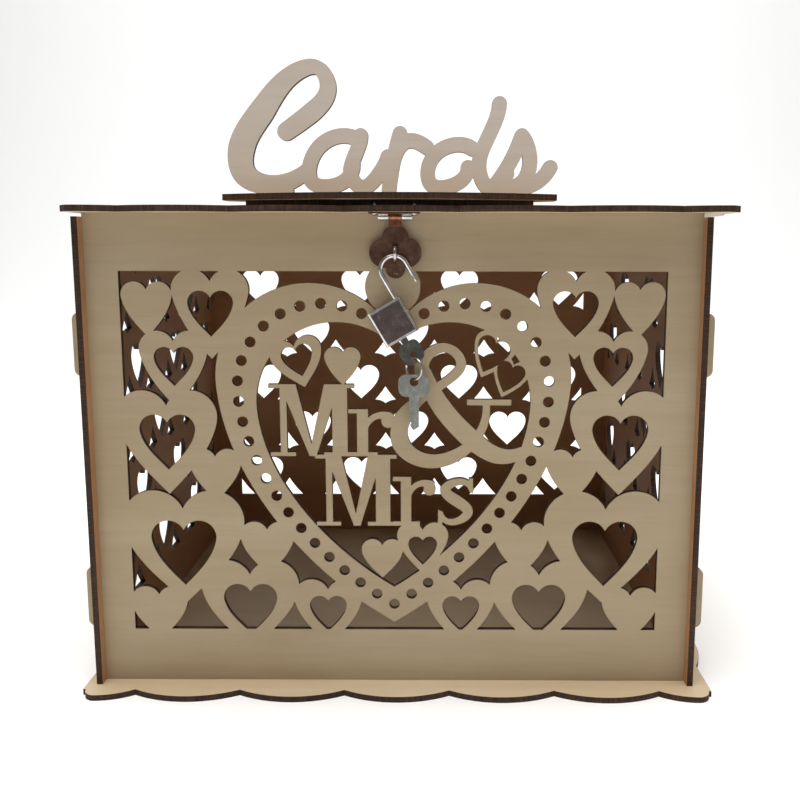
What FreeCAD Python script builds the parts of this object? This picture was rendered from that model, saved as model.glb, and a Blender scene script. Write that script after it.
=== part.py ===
import FreeCAD, Part
import math
import os

import Sketcher
from FreeCAD import Placement, Rotation, Vector

# Wedding card box of laser-cut plywood: a fretwork box on a scalloped base, a hinged scalloped
# lid with a standing sign, and a hasp, staple and small open padlock at the front.
# Millimetres, +X right, -Y front, +Z up; the origin is the middle of the base's underside.

doc = FreeCAD.newDocument("wedding_card_box")

# ---------------------------------------------------------------- driving dimensions

SIZES = [
    ("ply", 3.0, "plywood thickness"),
    ("inner_width", 300.0, "between the side panels"),
    ("inner_depth", 247.0, "between the front and back panels"),
    ("wall_height", 239.0, "front and back panels above the base"),
    ("side_drop", 2.0, "side panels are this much lower"),
    ("side_reach", 5.8, "side panels stand past the front and back panels"),
    ("relief_depth", 3.8, "step in a side panel's rear edge that lets the lid swing"),
    ("relief_height", 20.0, "step in a side panel's rear edge that lets the lid swing"),
    ("slot_gap", 0.1, "clearance all round a tab in its slot"),
    ("side_tab_length", 31.5, "tabs of the front and back panels"),
    ("side_tab_low", 45.0, "height of the lower side tabs' middle"),
    ("side_tab_high", 175.0, "height of the upper side tabs' middle"),
    ("side_tab_proud", 4.5, "side tabs stand out past the side panels"),
    ("base_tab_length", 25.0, "tabs that enter the base"),
    ("base_tab_pitch", 105.0, "spacing of the base tabs"),
    ("lobe_width", 53.2, "scallop width along the front and back"),
    ("lobe_depth_pitch", 55.0, "scallop width along the sides"),
    ("lobe_bulge", 7.0, "scallop height"),
    ("corner_radius", 7.0, "round corners of base and lid"),
    ("base_shift", 1.5, "base outline sits this far to the right"),
    ("lid_shift", 4.0, "lid outline sits this far to the right"),
    ("window_half", 133.7, "half width of the fretwork window"),
    ("window_low", 27.7, "window's lower edge above the base"),
    ("window_high", 211.0, "window's upper edge above the base"),
    ("dot_radius", 2.65, "round holes in the heart band"),
    ("dot_pitch", 10.45, "spacing of the round holes"),
    ("card_slot_width", 200.0, "card slot in the lid"),
    ("card_slot_depth", 14.0, "card slot in the lid"),
    ("card_slot_back", 68.0, "card slot's middle behind the front panel"),
    ("sign_back", 8.0, "sign's front face behind the front panel's face"),
    ("sign_half", 81.0, "half length of the sign plate"),
    ("sign_bow", 25.0, "sign plate's bow ahead of the sign's middle"),
    ("sign_end", 6.0, "half depth of the sign plate at its ends"),
    ("riser_ratio", 0.86, "riser's size compared with the sign plate"),
    ("tenon_length", 14.0, "sign's tenons"),
    ("hinge_place", 105.0, "rear hinges' middles from the centre"),
    ("hinge_width", 20.0, "rear hinge leaves along the pin"),
    ("hinge_leaf", 12.0, "rear hinge leaves across the pin"),
    ("hinge_barrel", 6.4, "middle knuckle length"),
    ("metal", 0.8, "sheet metal thickness"),
    ("knuckle_radius", 1.7, "hinge knuckles"),
    ("pin_radius", 0.8, "hinge pins"),
    ("pin_play", 0.05, "radial clearance of a hinge pin"),
    ("pin_drop", 2.0, "hinge axes below the lid and clear of the panel"),
    ("hasp_place", 1.5, "hasp's middle from the centre"),
    ("hasp_width", 24.0, "hasp leaf under the lid"),
    ("hasp_leaf", 12.0, "hasp leaf reaches this far forward"),
    ("strap_metal", 1.0, "strap thickness"),
    ("staple_wire", 0.9, "staple wire radius"),
    ("staple_half", 3.25, "half distance between the staple's legs"),
    ("staple_reach", 6.0, "staple's straight legs ahead of the panel"),
    ("staple_height", 219.75, "staple's middle above the base"),
    ("lock_tilt", 30.5, "degrees that the padlock hangs off plumb"),
    ("lock_width", 17.7, "padlock case"),
    ("lock_height", 18.5, "padlock case"),
    ("lock_depth", 6.6, "padlock case, front to back"),
    ("lock_front", 5.5, "shackle's plane ahead of the front panel"),
    ("bow_radius", 6.6, "shackle's bend at the wire's centre"),
    ("wire_radius", 1.1, "shackle wire"),
    ("long_leg", 12.1, "shackle's straight leg above the case"),
    ("short_leg", 10.1, "shackle's free leg"),
    ("shackle_lift", 6.1, "shackle's travel from shut to open"),
    ("leg_inside", 4.0, "long leg inside the case when open"),
    ("leg_gap", 0.08, "shackle's clearance in its bores"),
    ("plug_radius", 2.9, "lock plug"),
    ("plug_length", 8.0, "lock plug"),
    ("key_turned", 40.0, "degrees that the key is turned from flat-on"),
    ("key_metal", 1.0, "key thickness"),
    ("key_bow", 13.0, "key bow width"),
    ("key_bow_height", 11.0, "key bow height"),
    ("key_hole", 2.2, "hole in the key bow, radius"),
    ("key_blade", 3.6, "key blade width"),
    ("spare_bow", 15.2, "spare key's bow width"),
    ("spare_blade", 4.7, "spare key's blade width"),
    ("ring_radius", 5.4, "key ring at the wire's centre"),
    ("ring_wire", 0.5, "key ring wire radius"),
    ("ring_turned", -45.0, "degrees that the ring is turned from flat-on"),
]

sheet = doc.addObject("Spreadsheet::Sheet", "sizes")
for row, (alias, value, note) in enumerate(SIZES, start=1):
    sheet.set(f"A{row}", note)
    sheet.set(f"B{row}", str(value))
    sheet.setAlias(f"B{row}", alias)
doc.recompute()


def size(alias):
    """Value of a driving dimension."""
    return float(sheet.get(alias))


SCREW_SHANK = 0.9
SCREW_HEAD = 1.8
HINGE_SCREW_LENGTH = 2.6
HASP_SCREW_LENGTH = 4.6

ply = size("ply")
half_width = size("inner_width") / 2
half_depth = size("inner_depth") / 2 + ply
front = -half_depth
wall_top = ply + size("wall_height")
window_half = size("window_half")
window_low = size("window_low")
window_high = size("window_high")
SUBPARTS = []

# ---------------------------------------------------------------- outlines in the XZ plane


def point(x, z):
    return Vector(x, 0, z)


def rectangle(left, low, right, high):
    """Upright rectangular face."""
    corners = [point(left, low), point(right, low), point(right, high), point(left, high)]
    return Part.Face(Part.makePolygon(corners + corners[:1]))


def polygon(*corners):
    """Upright face with straight sides."""
    points = [point(x, z) for x, z in corners]
    return Part.Face(Part.makePolygon(points + points[:1]))


def disc(x, z, radius):
    """Upright round face."""
    return Part.Face(Part.Wire(Part.Circle(point(x, z), Vector(0, 1, 0), radius).toShape()))


def spline(points):
    curve = Part.BSplineCurve()
    curve.interpolate(points)
    return curve


def bezier(points):
    curve = Part.BezierCurve()
    curve.setPoles(points)
    return curve.toShape()


def heart_half(top, width, height, lobe, flank_angle, tip_slope):
    """Right half of a heart about x = 0: a round lobe from the cleft, and a bowed flank to the tip."""
    radius = lobe * width
    centre_x = width / 2 - radius
    centre_z = top - radius
    cleft = point(0, centre_z + math.sqrt(radius ** 2 - centre_x ** 2))
    crown = point(centre_x, top)
    angle = math.radians(flank_angle)
    flank = point(centre_x + radius * math.cos(angle), centre_z + radius * math.sin(angle))
    tip = point(0, top - height)
    reach = (flank - tip).Length
    leaving = point(math.sin(angle), -math.cos(angle)) * (0.35 * reach)
    slope = math.radians(tip_slope)
    arriving = point(math.cos(slope), math.sin(slope)) * (0.3 * reach)
    return [Part.Arc(cleft, crown, flank).toShape(), bezier([flank, flank + leaving, tip + arriving, tip])]


def heart(x, top, width, height, tilt=0, lobe=0.262, flank_angle=-12, tip_slope=46):
    """Heart face: x is its middle, top the height of its lobes; tilt turns it about its middle."""
    right = heart_half(top, width, height, lobe, flank_angle, tip_slope)
    left = [edge.mirror(Vector(), Vector(1, 0, 0)) for edge in right]
    face = Part.Face(Part.Wire(Part.__sortEdges__(right + left)))
    face.rotate(point(0, top - height / 2), Vector(0, 1, 0), tilt)
    face.translate(point(x, 0))
    return face


def brush(points, widths):
    """Band along a smooth curve through the points, as wide at each as the widths say, round-ended."""
    curve = spline([point(x, z) for x, z in points])
    marks = [curve.parameter(point(x, z)) for x, z in points]
    steps = 5
    left = []
    right = []
    for index in range(len(points) - 1):
        last_stretch = index == len(points) - 2
        for step in range(steps + last_stretch):
            share = step / steps
            place = marks[index] + share * (marks[index + 1] - marks[index])
            half = (widths[index] + share * (widths[index + 1] - widths[index])) / 2
            along = curve.tangent(place)[0]
            across = point(-along.z, along.x) * half
            left.append(curve.value(place) + across)
            right.append(curve.value(place) - across)
    end_tip = curve.value(marks[-1]) + curve.tangent(marks[-1])[0] * (widths[-1] / 2)
    start_tip = curve.value(marks[0]) - curve.tangent(marks[0])[0] * (widths[0] / 2)
    edges = [
        spline(left).toShape(),
        Part.Arc(left[-1], end_tip, right[-1]).toShape(),
        spline(right[::-1]).toShape(),
        Part.Arc(right[0], start_tip, left[0]).toShape(),
    ]
    return Part.Face(Part.Wire(edges))


def thicken(faces, depth, holes=(), start=Vector()):
    """One solid from overlapping flat faces moved to start, pierced by the faces in holes."""
    solids = [face.translated(start).extrude(depth) for face in faces]
    board = solids[0].multiFuse(solids[1:]) if len(solids) > 1 else solids[0]
    if holes:
        board = board.cut([hole.translated(start).extrude(depth) for hole in holes])
    board = board.removeSplitter()
    if len(board.Solids) != 1:
        raise RuntimeError(f"a board fell into {len(board.Solids)} pieces")
    return board.Solids[0]


def cut_board(faces, holes=()):
    """Plywood board from upright flat faces: front on y = 0, thickness towards +Y."""
    return thicken(faces, Vector(0, ply, 0), holes)


def add_shape(label, shape, placement=None):
    """Sub-part whose outline no sketch or primitive fits."""
    subpart = doc.addObject("Part::Feature", label)
    subpart.Label = label
    subpart.Shape = shape
    if placement:
        subpart.Placement = placement
    SUBPARTS.append(subpart)
    return subpart


# ---------------------------------------------------------------- fretwork of the front panel

# Hearts of the border, mirrored left and right: middle from the centre line, top of the lobes
# above the base, width and height. A ring has an inner heart as well.
BORDER_SOLID = [
    (120.5, 206.0, 25.0, 27.0),
    (89.5, 122.7, 26.0, 27.0),
    (120.7, 50.6, 29.0, 28.6),
    (64.4, 85.0, 27.5, 28.0),
]
BORDER_RINGS = [
    ((89.3, 212.0, 38.0, 44.0), (89.3, 201.5, 22.3, 22.4)),
    ((108.3, 182.0, 34.0, 38.0), (108.3, 173.9, 19.5, 19.4)),
    ((113.0, 152.3, 50.5, 53.0), (112.9, 140.0, 27.8, 28.0)),
    ((106.8, 101.2, 62.0, 59.5), (106.8, 85.4, 33.0, 34.0)),
    ((73.8, 64.6, 50.0, 48.0), (73.8, 51.9, 27.2, 26.6)),
    ((34.0, 54.5, 35.0, 35.5), (34.0, 45.6, 18.8, 18.9)),
]


def heart_band():
    """Wide heart outline that holds the lettering, with its row of round holes left to cut."""
    outer = heart(0, 205.4, 176.0, 173.6, lobe=0.267, flank_angle=-5, tip_slope=30)
    inner = heart(0, 186.3, 136.0, 135.6, lobe=0.294, flank_angle=-5, tip_slope=31)
    return outer.cut(inner)


def band_dots():
    """Round holes at equal steps along the middle of the heart band, from its tip up both sides."""
    half = heart_half(195.4, 154.6, 153.9, 0.2736, -5, 29.5)
    line = Part.Wire(Part.__sortEdges__(half))
    count = round(line.Length / size("dot_pitch"))
    dots = [disc(0, 41.5, size("dot_radius"))]
    for place in line.discretize(Number=count + 1):
        if place.x > 7.0:
            dots.append(disc(place.x, place.z, size("dot_radius")))
            dots.append(disc(-place.x, place.z, size("dot_radius")))
    return dots


def serif_m(left, low, width, height):
    """Capital M with slab serifs: thin left upright, thick right upright, open V between them."""
    high = low + height
    right = left + width
    slab = 0.055 * height
    thin = 0.08 * width
    thick = 0.18 * width
    slope_thick = 0.19 * width
    slope_thin = 0.09 * width
    stem_left = left + 0.13 * width
    stem_right = right - 0.08 * width - thick
    foot_x = left + 0.5 * width
    faces = [
        rectangle(stem_left, low, stem_left + thin, high),
        rectangle(stem_right, low, stem_right + thick, high),
        polygon((stem_left, high), (stem_left + slope_thick, high), (foot_x + 0.03 * width, low),
                (foot_x - 0.03 * width, low)),
        polygon((stem_right - slope_thin, high), (stem_right + slope_thin, high), (foot_x + 0.05 * width, low),
                (foot_x - 0.04 * width, low)),
        rectangle(left, high - slab, stem_left + slope_thick, high),
        rectangle(stem_right - slope_thin, high - slab, right, high),
        rectangle(left + 0.01 * width, low, stem_left + thin + 0.1 * width, low + slab),
        rectangle(stem_right - 0.1 * width, low, right, low + slab),
    ]
    return faces


def serif_r(left, low, width, height):
    """Small r: an upright on a slab foot, and an arm that ends in a ball."""
    high = low + height
    slab = 0.09 * height
    stem = left + 0.18 * width
    thick = 0.24 * width
    ball = 0.14 * width
    return [
        rectangle(stem, low, stem + thick, high),
        rectangle(left, low, left + 0.62 * width, low + slab),
        rectangle(left, high - slab, stem + thick, high),
        brush([(stem + 0.7 * thick, low + 0.6 * height), (left + 0.62 * width, high - 0.14 * height),
               (left + 0.86 * width, high - 0.16 * height)], [0.12 * width, 0.14 * width, 0.2 * width]),
        disc(left + 0.84 * width, high - 0.26 * height, ball),
    ]


def small_s(left, low, width, height):
    """Small s: one brush stroke with upright ends."""
    def place(x, z):
        return left + x * width, low + z * height
    stroke = [place(0.86, 0.74), place(0.55, 0.9), place(0.25, 0.74), place(0.5, 0.52),
              place(0.78, 0.28), place(0.5, 0.09), place(0.14, 0.26)]
    widths = [0.12 * width, 0.17 * width, 0.24 * width, 0.28 * width, 0.24 * width, 0.17 * width, 0.12 * width]
    return [
        brush(stroke, widths),
        polygon(place(0.8, 0.97), place(0.9, 0.97), place(0.9, 0.66), place(0.8, 0.72)),
        polygon(place(0.08, 0.03), place(0.18, 0.03), place(0.2, 0.26), place(0.08, 0.34)),
    ]


def ampersand():
    """Large and-sign in two brush strokes, with a flat serif on its arm."""
    bowl = [(46, 146), (43, 131), (31, 119.5), (15, 117), (3.5, 126), (4.5, 138), (14, 148.5),
            (27, 157.5), (33.5, 166), (27, 173.5), (17.5, 170.5), (14.5, 161)]
    bowl_widths = [3.6, 4.5, 6.5, 7.5, 9.0, 8.5, 5.0, 4.5, 5.0, 4.6, 5.5, 8.0]
    leg = [(15, 161), (24, 144), (38, 128.5), (52, 119.5), (64, 121)]
    leg_widths = [8.0, 9.5, 10.0, 8.5, 6.0]
    arm = rectangle(36.5, 145, 58.5, 148)
    return [brush(bowl, bowl_widths), brush(leg, leg_widths), arm]


def small_hearts():
    """Hearts among the lettering: solid ones, rings, and two fine linked outlines."""
    solid = [
        heart(-25.0, 174.0, 18.0, 19.0),
        heart(-6.0, 76.0, 21.0, 20.5),
        heart(-46.8, 178.6, 26.0, 25.0, tilt=-14),
        heart(14.5, 84.8, 26.0, 27.0),
        heart(48.0, 181.0, 21.0, 23.0, tilt=24),
        heart(57.0, 168.5, 18.5, 20.0, tilt=20),
    ]
    holes = [
        heart(-46.8, 174.8, 15.5, 15.5, tilt=-14),
        heart(14.5, 77.3, 14.5, 14.8),
        heart(48.0, 178.8, 16.4, 17.8, tilt=24),
        heart(57.0, 166.4, 14.3, 15.2, tilt=20),
    ]
    return solid, holes


def lettering():
    """The and-sign and the two generic titles beside it, in plain slab letters."""
    faces = serif_m(-62.0, 119.0, 42.5, 36.5)
    faces += serif_r(-22.5, 119.0, 23.5, 24.0)
    faces += serif_m(-39.5, 83.0, 41.0, 36.8)
    faces += serif_r(-0.5, 83.0, 22.0, 25.5)
    faces += small_s(20.5, 83.0, 21.5, 25.5)
    faces += ampersand()
    return faces


def mirrored(face):
    return face.mirror(Vector(), Vector(1, 0, 0))


def front_fretwork():
    """Solid and open faces of the front window, in the panel's own frame."""
    solid = [heart_band(), disc(0, 203.5, 13.5)]
    holes = []
    for sizes in BORDER_SOLID:
        solid += [heart(*sizes), mirrored(heart(*sizes))]
    for outer, inner in BORDER_RINGS:
        solid += [heart(*outer), mirrored(heart(*outer))]
        holes += [heart(*inner), mirrored(heart(*inner))]
    among, among_holes = small_hearts()
    solid += lettering() + among
    return solid, holes + among_holes + band_dots()


# ---------------------------------------------------------------- box walls


def side_tabs():
    """Round-cornered tabs at both sides of a front or back panel."""
    faces = []
    half = half_width
    tab = size("side_tab_length") / 2
    reach = half + ply + size("side_tab_proud")
    rounding = size("side_tab_proud") - 1.0
    for side in (-1, 1):
        for middle in (size("side_tab_low"), size("side_tab_high")):
            inner = side * (half - 1)
            straight = side * (reach - rounding)
            outer = side * reach
            faces.append(rectangle(min(inner, straight), middle - tab, max(inner, straight), middle + tab))
            faces.append(rectangle(min(inner, outer), middle - tab + rounding, max(inner, outer),
                                   middle + tab - rounding))
            for end in (-1, 1):
                faces.append(disc(straight, middle + end * (tab - rounding), rounding))
    return faces


def base_tabs():
    """Tabs along a panel's lower edge, as deep as the base is thick."""
    half = size("base_tab_length") / 2
    pitch = size("base_tab_pitch")
    return [rectangle(step * pitch - half, -ply, step * pitch + half, 1) for step in (-1, 0, 1)]


def pierced_panel(outline, tabs, half, solid, holes, pilots=()):
    """Panel whose window is filled with the solid faces and pierced by the holes, with pilots outside it."""
    window = rectangle(-half, window_low, half, window_high)
    frame = outline.cut(window).Faces
    clipped = [face for hole in holes for face in hole.common(window).Faces]
    return cut_board(frame + tabs + solid, clipped + list(pilots))


def build_front_panel():
    solid, holes = front_fretwork()
    outline = rectangle(-half_width, 0, half_width, size("wall_height"))
    middle = size("staple_height")
    legs = [disc(hasp_x, middle + end * size("staple_half"), size("staple_wire") + 0.05) for end in (-1, 1)]
    pilots = [disc(x, z - ply, SCREW_SHANK) for x, z in staple_screw_places()]
    board = pierced_panel(outline, side_tabs() + base_tabs(), window_half, solid, holes, legs + pilots)
    add_shape("front_panel", board, Placement(Vector(0, front, ply), Rotation()))


def heart_lattice(half, low, high, columns, rows):
    """Rows of touching hearts over a window; every second one is a ring."""
    pitch_x = 2 * half / columns
    pitch_z = (high - low) / rows
    width = 1.24 * pitch_x
    height = 1.3 * pitch_z
    solid = []
    holes = []
    for row in range(rows):
        for column in range(columns):
            x = -half + (column + 0.5) * pitch_x
            top = low + (row + 1.08) * pitch_z
            solid.append(heart(x, top, width, height))
            if (row + column) % 2 == 0:
                holes.append(heart(x, top - 0.19 * height, 0.6 * width, 0.56 * height))
    return solid, holes


def build_back_panel():
    solid, holes = heart_lattice(window_half, window_low, window_high, 7, 5)
    outline = rectangle(-half_width, 0, half_width, size("wall_height"))
    pilots = [disc(x, z - ply, SCREW_SHANK) for x, z in hinge_box_screw_places()]
    board = pierced_panel(outline, side_tabs() + base_tabs(), window_half, solid, holes, pilots)
    add_shape("back_panel", board, Placement(Vector(0, half_depth - ply, ply), Rotation()))


def build_side_panels():
    """Left and right panels, slotted for the front and back panels' tabs."""
    half = half_depth + size("side_reach")
    high = size("wall_height") - size("side_drop")
    window = half_depth - 20
    gap = size("slot_gap")
    solid, holes = heart_lattice(window, window_low, window_high, 6, 5)
    relief = rectangle(half - size("relief_depth"), high - size("relief_height"), half + 1, high + 1)
    outline = rectangle(-half, 0, half, high).cut(relief)
    tab = size("side_tab_length") / 2 + gap
    for side in (-1, 1):
        outer = side * (half_depth + gap)
        inner = side * (half_depth - ply - gap)
        for middle in (size("side_tab_low"), size("side_tab_high")):
            slot = rectangle(min(inner, outer), middle - tab, max(inner, outer), middle + tab)
            outline = outline.cut(slot)
    board = pierced_panel(outline, base_tabs(), window, solid, holes)
    turn = Rotation(Vector(0, 0, 1), 90)
    add_shape("left_panel", board, Placement(Vector(-half_width, 0, ply), turn))
    add_shape("right_panel", board, Placement(Vector(half_width + ply, 0, ply), turn))


# ---------------------------------------------------------------- base and lid


def scalloped_board(shift):
    """Scalloped board on z = 0: five lobes and two half lobes in front, four at the sides."""
    half_x = 3 * size("lobe_width")
    half_y = 2.5 * size("lobe_depth_pitch")
    bulge = size("lobe_bulge")
    corner = size("corner_radius")
    faces = [Part.makePlane(2 * half_x, 2 * half_y, Vector(-half_x, -half_y, 0))]

    def lobe(centre, along, outward, pitch):
        start = centre - along * (pitch / 2)
        end = centre + along * (pitch / 2)
        arc = Part.Arc(start, centre + outward * bulge, end).toShape()
        back = Part.makePolygon([end, end - outward, start - outward, start])
        return Part.Face(Part.Wire([arc] + back.Edges))

    def corner_lobe(side_x, side_y):
        front_cusp = Vector(side_x * (half_x - size("lobe_width") / 2), side_y * half_y, 0)
        side_cusp = Vector(side_x * half_x, side_y * (half_y - size("lobe_depth_pitch") / 2), 0)
        crown = Vector(side_x * (half_x - corner), side_y * (half_y + 0.9 * bulge), 0)
        flank = Vector(side_x * (half_x - 0.2 * corner), side_y * (half_y + 0.9 * bulge - corner), 0)
        round_point = Vector(side_x * (half_x - 0.46 * corner), side_y * (half_y + 0.9 * bulge - 0.28 * corner), 0)
        front_middle = (front_cusp + crown) * 0.5 + Vector(0, side_y * 0.24 * bulge, 0)
        side_middle = (side_cusp + flank) * 0.5 + Vector(side_x * 0.5, 0, 0)
        outline = [
            Part.Arc(front_cusp, front_middle, crown).toShape(),
            Part.Arc(crown, round_point, flank).toShape(),
            Part.Arc(flank, side_middle, side_cusp).toShape(),
        ]
        middle = Vector(side_x * (half_x - 30), side_y * (half_y - 30), 0)
        closing = Part.makePolygon([side_cusp, middle, front_cusp])
        return Part.Face(Part.Wire(outline + closing.Edges))

    for side in (-1, 1):
        for step in range(-2, 3):
            centre = Vector(step * size("lobe_width"), side * half_y, 0)
            faces.append(lobe(centre, Vector(1, 0, 0), Vector(0, side, 0), size("lobe_width")))
        for step in (-1.5, -0.5, 0.5, 1.5):
            centre = Vector(side * half_x, step * size("lobe_depth_pitch"), 0)
            faces.append(lobe(centre, Vector(0, 1, 0), Vector(side, 0, 0), size("lobe_depth_pitch")))
        for other in (-1, 1):
            faces.append(corner_lobe(side, other))
    board = thicken(faces, Vector(0, 0, ply))
    board.translate(Vector(shift, 0, 0))
    return board


def slot_solid(x, y, length_x, length_y):
    """Upright cutter through a board that lies on z = 0."""
    return Part.makeBox(length_x, length_y, 3 * ply, Vector(x - length_x / 2, y - length_y / 2, -ply))


def build_base():
    board = scalloped_board(size("base_shift"))
    gap = 2 * size("slot_gap")
    tab = size("base_tab_length")
    for step in (-1, 0, 1):
        along = step * size("base_tab_pitch")
        for side in (-1, 1):
            board = board.cut(slot_solid(along, side * (half_depth - ply / 2), tab + gap, ply + gap))
            board = board.cut(slot_solid(side * (half_width + ply / 2), along, ply + gap, tab + gap))
    add_shape("base_plate", board)


def sign_tenon_places():
    return [-54.0, 52.0]


def build_lid():
    """Lid board with the card slot and the pilot holes of the hasp screws."""
    board = scalloped_board(size("lid_shift"))
    slot = slot_solid(0, front + size("card_slot_back"), size("card_slot_width"), size("card_slot_depth"))
    board = board.cut(slot)
    for x, y in hasp_screw_places():
        board = board.cut(Part.makeCylinder(SCREW_SHANK, 3 * ply, Vector(x, y, -ply)))
    for x, y in hinge_lid_screw_places():
        board = board.cut(Part.makeCylinder(SCREW_SHANK, HINGE_SCREW_LENGTH, Vector(x, y, 0)))
    add_shape("lid_panel", board.Solids[0], Placement(Vector(0, 0, wall_top), Rotation()))


# ---------------------------------------------------------------- sign on the lid


def lens(half, bow, end):
    """Flat plate outline with bowed front and back edges, about the sign's own middle line."""
    front_edge = Part.Arc(Vector(-half, -end, 0), Vector(0, -bow, 0), Vector(half, -end, 0)).toShape()
    back_edge = Part.Arc(Vector(half, end, 0), Vector(0, bow, 0), Vector(-half, end, 0)).toShape()
    right_end = Part.makeLine(Vector(half, -end, 0), Vector(half, end, 0))
    left_end = Part.makeLine(Vector(-half, end, 0), Vector(-half, -end, 0))
    return Part.Face(Part.Wire([front_edge, right_end, back_edge, left_end]))


def build_sign_boards():
    """Riser and sign plate, both slotted for the sign's tenons."""
    gap = 2 * size("slot_gap")
    middle_y = front + size("sign_back") + ply / 2
    ratio = size("riser_ratio")
    boards = [
        ("sign_riser", lens(size("sign_half") * ratio, size("sign_bow") * 0.6, size("sign_end")), 1),
        ("sign_plate", lens(size("sign_half"), size("sign_bow"), size("sign_end")), 2),
    ]
    for label, outline, layer in boards:
        board = outline.extrude(Vector(0, 0, ply))
        for x in sign_tenon_places():
            board = board.cut(slot_solid(x, 0, size("tenon_length") + gap, ply + gap))
        add_shape(label, board.Solids[0], Placement(Vector(-1.5, middle_y, wall_top + layer * ply), Rotation()))


def sign_letters():
    """Word that says what goes in the box, as joined round-ended strokes on a common foot line."""
    stroke = 7.2
    capital = [(-50, 30), (-37.5, 39), (-29.5, 51), (-34, 59.5), (-45, 57.5), (-62, 39), (-72, 22), (-70.5, 9.5),
               (-61, 5), (-50, 6), (-40, 12)]
    capital_widths = [8.8, 9.5, 8.0, 6.6, 8.5, 12.2, 12.8, 11.5, 9.5, 8.5, 7.0]
    small_a_bowl = [(-15, 26), (-26, 27.5), (-38, 17), (-38, 6), (-29, 4), (-18, 15)]
    small_a_stem = [(-14, 28), (-18, 16), (-19, 9), (-14, 3.6), (-6, 9), (-1, 18)]
    small_r_arm = [(2, 17), (8.5, 25.5), (18, 22.5)]
    small_r_stem = [(5, 29), (1.5, 15), (-0.5, 2)]
    small_d_bowl = [(40, 22), (30, 23.5), (19, 14), (20, 5), (29, 4), (38, 13)]
    small_d_stem = [(53, 43), (47, 26), (43.5, 12), (47, 4), (57, 10)]
    small_s_rise = [(51, 4.5), (58.5, 15.5), (64, 28)]
    small_s_fall = [(64, 28), (68, 18), (66, 8), (58, 3.6)]
    small_s_tail = [(60, 3.8), (69, 4.6), (78, 13)]
    faces = [brush(capital, capital_widths)]
    for points in (small_a_bowl, small_a_stem, small_r_arm, small_r_stem, small_d_bowl, small_d_stem,
                   small_s_rise, small_s_fall, small_s_tail):
        faces.append(brush(points, [stroke] * len(points)))
    return faces


def build_sign():
    """Sign cut from one board, cut flat along its foot, with two tenons below."""
    keep = rectangle(-100, 0, 100, 100)
    letters = [face for stroke in sign_letters() for face in stroke.common(keep).Faces]
    tenon = size("tenon_length") / 2
    tenons = [rectangle(x - tenon, -2 * ply, x + tenon, 2.5) for x in sign_tenon_places()]
    place = Vector(-1.5, front + size("sign_back"), wall_top + 3 * ply)
    add_shape("cards_sign", cut_board(letters + tenons), Placement(place, Rotation()))


# ---------------------------------------------------------------- primitives bound to the sheet


def bind(feature, values):
    """Bind each named property to an expression over the sheet."""
    for name, expression in values.items():
        feature.setExpression(name, expression)


def add_box(name, length, width, height, x, y, z):
    """Box from expressions over the sheet; x, y, z place its lowest corner."""
    box = doc.addObject("Part::Box", name)
    bind(box, {"Length": length, "Width": width, "Height": height, ".Placement.Base.x": x,
               ".Placement.Base.y": y, ".Placement.Base.z": z})
    return box


def add_rod(name, radius, length, x, y, z, direction=Vector(1, 0, 0)):
    """Cylinder from expressions over the sheet, running from x, y, z along direction."""
    rod = doc.addObject("Part::Cylinder", name)
    rod.Placement = Placement(Vector(), Rotation(Vector(0, 0, 1), direction))
    bind(rod, {"Radius": radius, "Height": length, ".Placement.Base.x": x,
               ".Placement.Base.y": y, ".Placement.Base.z": z})
    return rod


def add_union(name, features):
    union = doc.addObject("Part::MultiFuse", name)
    union.Shapes = features
    union.Refine = True
    return union


def add_difference(label, base, tool, placement=None):
    difference = doc.addObject("Part::Cut", label)
    difference.Base = base
    difference.Tool = tool
    difference.Label = label
    if placement:
        difference.Placement = placement
    return difference


# ---------------------------------------------------------------- rear hinges and hasp leaf

PIN_DROP = "(sizes.ply + sizes.wall_height - sizes.pin_drop)"
REAR_PIN_Y = "(sizes.inner_depth / 2 + sizes.ply + sizes.pin_drop)"
HASP_PIN_Y = "(0 - sizes.inner_depth / 2 - sizes.ply - sizes.pin_drop - 0.5)"
hinge_z = wall_top - size("pin_drop")
rear_pin_y = half_depth + size("pin_drop")
hasp_pin_y = front - size("pin_drop") - 0.5
hasp_x = size("hasp_place")


def hinge_lid_screw_places():
    """Screws through the rear hinges' lid leaves, in the lid's plane, inside those of the box leaves."""
    reach = 0.14 * size("hinge_width")
    y = rear_pin_y + 0.62 * size("hinge_leaf")
    return [(side * size("hinge_place") + end * reach, y) for side in (-1, 1) for end in (-1, 1)]


def hasp_screw_places():
    """Screws through the hasp leaf, in the lid's plane."""
    y = hasp_pin_y - 0.6 * size("hasp_leaf")
    return [(hasp_x + end * 9.4, y) for end in (-1, 1)]


def knuckle(name, centre_x, start, length, pin_y):
    """One knuckle of a hinge: start and length run along X from the hinge's middle."""
    return add_rod(name, "sizes.knuckle_radius", length, f"{centre_x} + {start}", pin_y, PIN_DROP)


def lid_leaf(name, centre_x, width, depth, pin_y, outward, knuckles):
    """Leaf flat under the lid with knuckles on the pin; outward is 1 to the back, -1 to the front."""
    gap = "(sizes.knuckle_radius + 0.4)"
    plate_y = f"{pin_y} + {gap}" if outward > 0 else f"{pin_y} - {depth}"
    plate_width = f"{depth} - {gap}"
    height = "sizes.ply + sizes.wall_height - sizes.metal"
    parts = [add_box(f"{name}_plate", width, plate_width, "sizes.metal", f"{centre_x} - {width} / 2",
                     plate_y, height)]
    for index, (start, length) in enumerate(knuckles):
        parts.append(knuckle(f"{name}_knuckle{index}", centre_x, start, length, pin_y))
        tongue_y = pin_y if outward > 0 else f"{pin_y} - {gap} - 1"
        parts.append(add_box(f"{name}_tongue{index}", length, f"{gap} + 1", "sizes.metal",
                             f"{centre_x} + {start}", tongue_y, height))
    return add_union(f"{name}_body", parts)


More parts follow.
